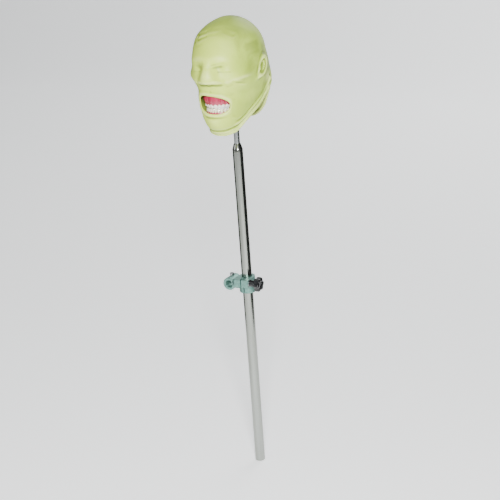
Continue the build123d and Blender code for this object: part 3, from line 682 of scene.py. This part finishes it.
def make_gum(jaw, up):
    """The gum of one jaw. up is +1 for the upper jaw and -1 for the lower one."""
    bpy.ops.object.select_all(action="DESELECT")
    bpy.ops.mesh.primitive_grid_add(x_subdivisions=300, y_subdivisions=56, size=2)
    gum = bpy.context.object
    gum.name = f"{jaw}_gum_flesh"
    flat = np.array([v.co for v in gum.data.vertices])
    end = arch_table(jaw)[1][-1] + arch_tail
    walked = flat[:, 0] * end
    across = (flat[:, 1] + 1) / 2
    offset = np.ones(len(walked))
    thick = np.full(len(walked), 10.0)
    for _, middle, width, depth in tooth_row(jaw):
        share = (np.abs(walked) - middle) / (width / 2)
        near = np.abs(share) <= 1.001
        offset[near] = share[near]
        thick[near] = depth
    # the thickness of the row, evened out between one tooth and the next
    stops = 601
    window = 25
    order = np.argsort(walked)
    along_row = np.interp(np.linspace(-end, end, stops), walked[order], thick[order])
    nearest = np.round((walked + end) / (2 * end) * (stops - 1)).astype(int)
    thick = np.convolve(along_row, np.ones(window) / window, "same")[nearest]
    half = np.clip(thick, 5.2, 10.4) / 2
    scallop = 2.5 * np.abs(offset) ** 2.2 - 0.2
    root = 1 - offset ** 2
    flare = gum_flare[jaw] * ease(26, 50, np.abs(walked))
    # the section from the rim by the cheek, over the teeth's necks, to the inner edge: the share
    # of the way, how far outside the tooth line, how far above the gum's edge, the swell over each
    # root and the share of the scallop
    reach = (0.0, 0.14, 0.27, 0.36, 0.41, 0.44, 0.50, 0.55, 0.60, 0.70, 0.85, 1.0)
    out = [5.2 + flare, 5.4 + flare, 5.0 + flare * 0.75, half * 0.5 + 2.3 + flare * 0.25,
           half * 0.82 + 0.55, half * 0.80, 0 * half, -half * 0.80, -half * 0.9 - 0.5,
           -half * 0.5 - 3.6, -7.5, -7.6]
    rise = [17.0, 11.0, 6.5, 3.0, 0.4, 0.6, 2.0, 0.6, 0.3, 4.0, 8.0, gum_end[jaw]]
    swell = [0.2, 0.9, 1.5, 1.0, 0.2, 0, 0, 0, 0.2, 0.4, 0.2, 0]
    dipped = [0, 0, 0.15, 0.6, 1.0, 1.0, 0.9, 1.0, 1.0, 0.4, 0, 0]
    step = np.clip(np.searchsorted(reach, across) - 1, 0, len(reach) - 2)
    t = (across - np.array(reach)[step]) / np.diff(reach)[step]

    def read(rows):
        """A smooth curve through the rows at each point's share of the way."""
        rows = np.array([np.broadcast_to(r, half.shape) for r in rows], float)
        every = np.arange(len(half))
        p0, p1 = rows[step, every], rows[step + 1, every]
        m0 = (p1 - rows[np.maximum(step - 1, 0), every]) / 2
        m1 = (rows[np.minimum(step + 2, len(reach) - 1), every] - p0) / 2
        return ((2 * t ** 3 - 3 * t ** 2 + 1) * p0 + (t ** 3 - 2 * t ** 2 + t) * m0
                + (3 * t ** 2 - 2 * t ** 3) * p1 + (t ** 3 - t ** 2) * m1)

    r = read(out) + read(swell) * (root - gum_sink)
    height = read(rise) - read(dipped) * scallop
    x, y, out_x, out_y = arch_place(jaw, walked)
    x = x + r * out_x
    y = y + r * out_y
    if up > 0:
        vault = ease(0.66, 1.0, across)
        row_y = arch_place(jaw, walked)[1]
        centre_y = arch_y + (row_y - arch_y) * 0.56 + 0.08 * np.abs(walked)
        x = x * (1 - vault)
        y = y * (1 - vault) + centre_y * vault
        ridges = 0.35 * np.sin((y + 80) * 1.5)
        height = height + ridges * ease(0.7, 0.8, across) * ease(-55, -62, y)
    z = bite / mm + up * (gum_line[jaw] + height)
    gum.data.vertices.foreach_set("co", (np.stack([x, y, z], -1) * mm).ravel())
    mend(weld=0.000012)
    front_y = (arch_y - arch_depth[jaw] - 4) * mm
    if sum(f.normal.y * f.area for f in gum.data.polygons
           if f.center.y < front_y and abs(f.center.x) < 0.01) > 0:
        turn_over()
    thicken(gum, gum_wall)
    bpy.ops.object.shade_smooth()
    return gum


flesh = finish("gum_flesh", (0.44, 0.024, 0.075), (0.27, 0.007, 0.032), 55, (0.18, 0.32),
               rise=0.16, coat_weight=0.35, coat_roughness=0.10)
tint(flesh, axis_of(flesh, "Z"), bite + 0.017, bite + 0.007, (0.52, 0.06, 0.12), 0.5)
for jaw, body, up in (("upper", "head", 1), ("lower", "mandible", -1)):
    settle(make_gum(jaw, up), body, flesh, "gum", f"{jaw}_gum")


# ---- Teeth --------------------------------------------------------------------------------------
# Twenty-eight separate hard-resin teeth, cast with a root that plugs into the base. The front ones
# are blades, the canines come to a point, and premolars and molars have cusps round a groove.
crown_height = {
    "central_incisor": 9.9, "lateral_incisor": 9.4, "canine": 10.0, "first_premolar": 9.0,
    "second_premolar": 8.9, "first_molar": 8.8, "second_molar": 8.8,
}
bite_gap = 0.22         # from the bite to the tooth's edge
cusp_height = 1.5
cusp_spread = 0.42      # half width of a cusp, as a share of the tooth's
edge_cap = 42.0         # degrees of the starting ball that make the biting edge
# share of the crown's height from its edge; half width; outer and inner face
blade = ((0.0, 0.90, 0.36, 0.06), (0.14, 0.99, 0.58, -0.06), (0.45, 1.0, 0.88, -0.40),
         (0.78, 0.88, 0.98, -0.92), (1.0, 0.76, 0.84, -0.90), (1.4, 0.60, 0.66, -0.70),
         (1.95, 0.30, 0.30, -0.34))
grinder = ((0.0, 0.84, 0.62, -0.60), (0.16, 0.98, 0.88, -0.86), (0.45, 1.0, 1.0, -0.98),
           (0.78, 0.92, 0.96, -0.94), (1.0, 0.82, 0.84, -0.84), (1.4, 0.66, 0.66, -0.66),
           (1.95, 0.34, 0.34, -0.34))
# where each cusp stands on the tooth, along and across the row, and how far it falls short
cusp_table = {
    "first_premolar": ((0.0, 0.55, 0.0), (0.0, -0.55, 0.05)),
    "second_premolar": ((0.0, 0.55, 0.0), (0.0, -0.5, 0.03)),
    "first_molar": ((-0.45, 0.5, 0.0), (0.45, 0.5, 0.0), (-0.45, -0.5, 0.0), (0.45, -0.5, 0.02)),
    "second_molar": ((-0.45, 0.5, 0.0), (0.45, 0.5, 0.0), (-0.45, -0.5, 0.01), (0.45, -0.5, 0.03)),
}


def make_tooth(jaw, side, kind, middle, width, thick, up):
    """One tooth, in place. side is +1 for the head's left."""
    bpy.ops.object.select_all(action="DESELECT")
    bpy.ops.mesh.primitive_uv_sphere_add(segments=40, ring_count=30, radius=1)
    tooth = bpy.context.object
    tooth.name = f"{jaw}_{'left' if side > 0 else 'right'}_{kind}_crown"
    ball = np.array([v.co for v in tooth.data.vertices])
    angle = np.arctan2(ball[:, 1], ball[:, 0])
    down = np.degrees(np.arccos(np.clip(ball[:, 2], -1, 1)))
    tall = crown_height[kind]
    table = blade if kind.endswith(("incisor", "canine")) else grinder
    filled = np.sin(np.radians(np.minimum(down / edge_cap, 1) * 90))
    share = np.maximum(down - edge_cap, 0) / (180 - edge_cap) * table[-1][0]
    wide, outer, inner = (through([(row[0], row[c]) for row in table], share) for c in (1, 2, 3))
    close = np.sqrt(np.clip((180 - down) / 22, 0, 1))
    square = 2.3 if table is blade else 2.7
    long = (np.abs(np.cos(angle)) ** square + np.abs(np.sin(angle)) ** square) ** (1 / square)
    u = np.cos(angle) / long * filled * close
    v = np.sin(angle) / long * filled * close
    a = u * wide * (width / 2 - 0.12)
    b = (inner + outer) / 2 * thick / 2 + v * (outer - inner) / 2 * thick / 2
    c = share * tall + 0.5 * filled ** 6 * (down < edge_cap) + 0.5 * (down >= edge_cap)
    if kind in cusp_table:
        hills = [bump(u, v, p, q, cusp_spread, cusp_spread) - low for p, q, low in cusp_table[kind]]
        valley = 1 - np.clip(np.max(hills, axis=0), 0, 1)
        c += cusp_height * valley * ease(1.0, 0.75, share + 0.75 * (down > edge_cap))
    if kind == "canine":
        c += 1.5 * np.abs(u) ** 1.4 * ease(0.5, 0.0, share)
    if kind.endswith("incisor"):
        c += (0.5 * np.abs(u) ** 4 - 0.06 * np.cos(u * 9)) * ease(0.3, 0.0, share)
        b += 0.10 * np.cos(u * 8) * ease(0.0, 0.2, share) * ease(0.8, 0.4, share) * (v > 0)
    b += 0.25 * (1 - u ** 2) * ease(0.1, 0.5, share)
    c = c + bite_gap
    x, y, out_x, out_y = (float(n[0]) for n in arch_place(jaw, np.array([side * middle])))
    places = np.stack(
        [x + out_x * b - out_y * a, y + out_y * b + out_x * a, bite / mm + up * c], -1)
    tooth.data.vertices.foreach_set("co", (places * mm).ravel())
    mend(weld=0.00001)
    bpy.ops.object.shade_smooth()
    return tooth


enamels = {}
for jaw, light, dark in (("upper", (0.93, 0.88, 0.82), (0.86, 0.80, 0.71)),
                         ("lower", (0.91, 0.88, 0.68), (0.83, 0.78, 0.56))):
    enamel = finish(f"{jaw}_enamel", light, dark, 90, (0.10, 0.22), rise=0.05,
                    coat_weight=0.5, coat_roughness=0.06)
    up = 1 if jaw == "upper" else -1
    tint(enamel, axis_of(enamel, "Z"), bite + up * 0.004, bite + up * 0.0095,
         (0.70, 0.58, 0.38), 0.6)
    enamels[jaw] = enamel
for jaw, body, up in (("upper", "head", 1), ("lower", "mandible", -1)):
    for kind, middle, width, thick in tooth_row(jaw):
        for side, word in ((1, "left"), (-1, "right")):
            tooth = make_tooth(jaw, side, kind, middle, width, thick, up)
            settle(tooth, body, enamels[jaw], "enamel", f"{jaw}_{word}_{kind}")


# ---- Pole, reducer and stem ---------------------------------------------------------------------
# The pole is drawn steel tube, polished, with rounded ends. A turned reducer with a conical
# shoulder plugs its top, and the neck's bright bar stands in it.
def turned(name, stations, axis="Z", at=(0, 0, 0), closed=False, sides=96):
    """A lathe-turned piece: stations are (distance along the axis, radius) in millimetres."""
    first = stations[0]
    bpy.ops.object.select_all(action="DESELECT")
    bpy.ops.mesh.primitive_circle_add(
        vertices=sides, radius=first[1] * mm, location=(0, 0, first[0] * mm),
        fill_type="NOTHING" if closed else "NGON")
    piece = bpy.context.object
    piece.name = name
    bpy.ops.object.transform_apply(location=True)
    bpy.ops.object.mode_set(mode="EDIT")
    bpy.ops.mesh.select_mode(type="VERT")
    bpy.ops.mesh.select_all(action="SELECT")
    for (low, before), (high, radius) in zip(stations, stations[1:]):
        bpy.ops.mesh.extrude_region_move(
            TRANSFORM_OT_translate={"value": (0, 0, (high - low) * mm)})
        grow = radius / before
        bpy.ops.transform.resize(value=(grow, grow, 1), center_override=(0, 0, high * mm))
    mend(weld=0.000005)
    about, swing = {"X": ("Y", 90), "Z": ("Z", 0)}[axis]
    piece.data.transform(
        Matrix.Translation(Vector(at) * mm) @ Matrix.Rotation(math.radians(swing), 4, about))
    bpy.ops.object.shade_smooth_by_angle(angle=math.radians(32))
    return piece


def lips(low, high, radius, inner, soft):
    """Stations of a tube with rounded rims."""
    return [
        (low + soft, inner), (low, inner + soft), (low, radius - soft), (low + soft, radius),
        (high - soft, radius), (high, radius - soft), (high, inner + soft), (high - soft, inner),
        (low + soft, inner)]


polished = finish("polished_steel", (0.40, 0.42, 0.39), (0.24, 0.25, 0.22), 60, (0.10, 0.24),
                  rise=0.04, stretch=(1, 1, 0.04), metallic=1.0)
bright = finish("bright_steel", (0.50, 0.52, 0.52), (0.34, 0.36, 0.36), 220, (0.18, 0.34),
                rise=0.06, stretch=(0.08, 0.08, 1), metallic=1.0)
pole_wall = 2.0
plug_depth = 30.0       # how far the reducer goes down into the pole
stem_play = 0.05
tube_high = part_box("pole_tube")[1]
pole_r = tube_high.x / mm
pole_top = tube_high.z / mm
pole = turned("polished_pole_tube", lips(0, pole_top, pole_r, pole_r - pole_wall, 0.6), closed=True)
settle(pole, "pole", polished, "polished_pole", "pole_tube")
reducer_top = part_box("pole_reducer")[1].z / mm
stem_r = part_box("neck_stem")[1].x / mm
cone_foot = pole_top + 5
plug_foot = pole_top - plug_depth
stem_hole = stem_r + stem_play
reducer = turned("conical_reducer", [
    (plug_foot, stem_hole), (plug_foot, pole_r - pole_wall - 0.1),
    (pole_top, pole_r - pole_wall - 0.05), (pole_top, pole_r - 0.5), (pole_top + 0.5, pole_r),
    (cone_foot - 0.4, pole_r), (cone_foot + 0.5, pole_r - 0.5), (reducer_top - 0.8, 7.7),
    (reducer_top, 7.0), (reducer_top, stem_hole), (plug_foot, stem_hole)], closed=True)
settle(reducer, "pole", polished, "polished_pole", "pole_reducer")
stem_low, stem_high = (corner.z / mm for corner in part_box("neck_stem"))
chamfer = 0.8
stem = turned("neck_bar", [(stem_low, stem_r - chamfer), (stem_low + chamfer, stem_r),
                           (stem_high - chamfer, stem_r), (stem_high, stem_r - chamfer)])
settle(stem, "neck", bright, "bright_steel", "neck_stem")


# ---- Clamp --------------------------------------------------------------------------------------
# A split collar cast in aluminium, with soft cast edges, and a boss that takes the bench's bar. A
# dark bolt crosses its lugs in front of the pole, and a black lobed hand knob draws it tight.
cast = finish("cast_aluminium", (0.21, 0.39, 0.33), (0.11, 0.24, 0.21), 160, (0.34, 0.52),
              rise=0.25, deep=0.0003, metallic=0.75)
dark = finish("dark_bolt_steel", (0.05, 0.085, 0.08), (0.02, 0.035, 0.035), 200, (0.25, 0.42),
              rise=0.08, metallic=0.8)
black = finish("black_knob_resin", (0.012, 0.013, 0.014), (0.004, 0.004, 0.005), 120, (0.12, 0.24),
               rise=0.04, coat_weight=0.25, coat_roughness=0.05, specular_ior_level=0.4)
collar = bpy.data.objects.new("cast_clamp", frame["nodes"]["clamp_body"].data.copy())
bpy.context.scene.collection.objects.link(collar)
bpy.ops.object.select_all(action="DESELECT")
collar.select_set(True)
bpy.context.view_layer.objects.active = collar
bpy.ops.object.mode_set(mode="EDIT")
bpy.ops.mesh.select_all(action="SELECT")
bpy.ops.mesh.remove_doubles(threshold=0.000002)
bpy.ops.object.mode_set(mode="OBJECT")
melt = collar.modifiers.new("melt", "REMESH")
melt.mode = "VOXEL"
melt.voxel_size = 0.00055
bpy.ops.object.modifier_apply(modifier=melt.name)
soften = collar.modifiers.new("soften", "SMOOTH")
soften.factor = 0.6
soften.iterations = 7
bpy.ops.object.modifier_apply(modifier=soften.name)
bpy.ops.object.shade_smooth()
settle(collar, "clamp", cast, "cast_alloy", "clamp_body")

washer_low, washer_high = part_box("knob_washer")
bolt_y = (washer_low.y + washer_high.y) / 2 / mm
bolt_z = (washer_low.z + washer_high.z) / 2 / mm
bolt_start, bolt_end = (corner.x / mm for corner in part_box("clamp_bolt"))
lug_x = washer_low.x / mm
bolt_at = (0, bolt_y, bolt_z)
shank = turned("bolt_shank", [(-lug_x - 1, 3.6), (-lug_x, 4), (bolt_end - 0.6, 4), (bolt_end, 3.4)],
               "X", bolt_at)
bolt_head = turned("bolt_head", [(bolt_start, 5.4), (bolt_start + 0.7, 6.9), (-lug_x - 0.5, 7.0),
                                 (-lug_x, 6.6)], "X", bolt_at, sides=6)
bolt = join(shank, bolt_head)
bolt.name = "clamp_cross_bolt"
settle(bolt, "clamp", dark, "dark_steel", "clamp_bolt")
washer = turned("plain_washer", lips(lug_x, washer_high.x / mm, 8, 4.05, 0.3), "X", bolt_at,
                closed=True)
settle(washer, "washer", bright, "bright_steel", "knob_washer")

# the knob: a flattened ball with six lobes, a dished face with a raised ring, and a hub
knob_start, knob_end = (corner.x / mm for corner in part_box("clamp_knob"))
lobes = 6
lobe_middle = 14.3
lobe_swing = 1.6
knob_depth = 15
rim_start = knob_end - knob_depth
bpy.ops.object.select_all(action="DESELECT")
bpy.ops.mesh.primitive_uv_sphere_add(segments=144, ring_count=48, radius=1)
knob = bpy.context.object
knob.name = "lobed_hand_knob"
ball = np.array([v.co for v in knob.data.vertices])
round_knob = np.arctan2(ball[:, 1], ball[:, 0])
down = np.arccos(np.clip(ball[:, 2], -1, 1))
thick_share = np.sign(np.cos(down)) * np.abs(np.cos(down)) ** 0.45
flat_share = np.abs(np.sin(down)) ** 0.55
reach = (lobe_middle + lobe_swing * np.cos(lobes * round_knob)) * flat_share
along = rim_start + knob_depth / 2 * (1 + thick_share)
along -= 1.8 * np.exp(-(reach / 7.5) ** 4) * (thick_share > 0)
along += 0.9 * np.exp(-((reach - 4.0) / 1.6) ** 2) * (thick_share > 0)
places = np.stack(
    [along, bolt_y + reach * np.cos(round_knob), bolt_z + reach * np.sin(round_knob)], -1)
knob.data.vertices.foreach_set("co", (places * mm).ravel())
bpy.ops.object.mode_set(mode="EDIT")
bpy.ops.mesh.select_all(action="SELECT")
bpy.ops.mesh.normals_make_consistent(inside=False)
bpy.ops.object.mode_set(mode="OBJECT")
bpy.ops.object.shade_smooth()
hub = turned("knob_hub", [(knob_start, 6.2), (knob_start + 0.8, 7), (rim_start - 1, 7.2),
                          (rim_start + 2, 9.5)], "X", bolt_at)
join(knob, hub)
settle(knob, "knob", black, "black_knob", "clamp_knob")

screw_low, screw_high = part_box("bar_screw")
screw_x = (screw_low.x + screw_high.x) / 2 / mm
screw_foot = screw_low.z / mm
head_foot = screw_high.z / mm - 4
set_screw = turned("bar_set_screw", [
    (screw_foot, 2.2), (screw_foot + 0.8, 3), (head_foot, 3), (head_foot, 4.6),
    (head_foot + 0.4, 5), (head_foot + 3.4, 5), (head_foot + 4, 4.4), (head_foot + 4, 2.4),
    (head_foot + 2, 2.2)], at=(screw_x, 0, 0), sides=48)
settle(set_screw, "clamp", bright, "bright_steel", "bar_screw")


# ---- Pieces inside the head ---------------------------------------------------------------------
# The neck joint, frames, shells, bases and screws are machined, moulded or stock pieces whose shape
# the frame already has. Each keeps its shape and gets its own surface.
alloy = finish("milled_alloy", (0.62, 0.63, 0.63), (0.48, 0.49, 0.50), 180, (0.28, 0.44), rise=0.10,
               stretch=(1, 0.1, 1), metallic=0.9)
plate = finish("pink_base_resin", (0.72, 0.36, 0.38), (0.60, 0.26, 0.29), 80, (0.30, 0.45),
               rise=0.08)
brass = finish("knurled_brass", (0.72, 0.52, 0.22), (0.55, 0.38, 0.14), 420, (0.22, 0.38), rise=0.3,
               metallic=1.0)
rubber_plug = finish("black_plug", (0.035, 0.035, 0.036), (0.018, 0.018, 0.019), 150, (0.5, 0.7),
                     rise=0.2)
inside = {
    "bright_steel": bright, "frame_alloy": alloy, "shell_plastic": moulded, "jaw_plate": plate,
    "brass_screw": brass, "black_plug": rubber_plug,
}
slots = {part["node"]: part["material_slot"] for part in frame["record"]["subparts"]}
for name, node in frame["nodes"].items():
    if not node.hide_render:
        node.data.materials.clear()
        node.data.materials.append(inside[slots[name]])
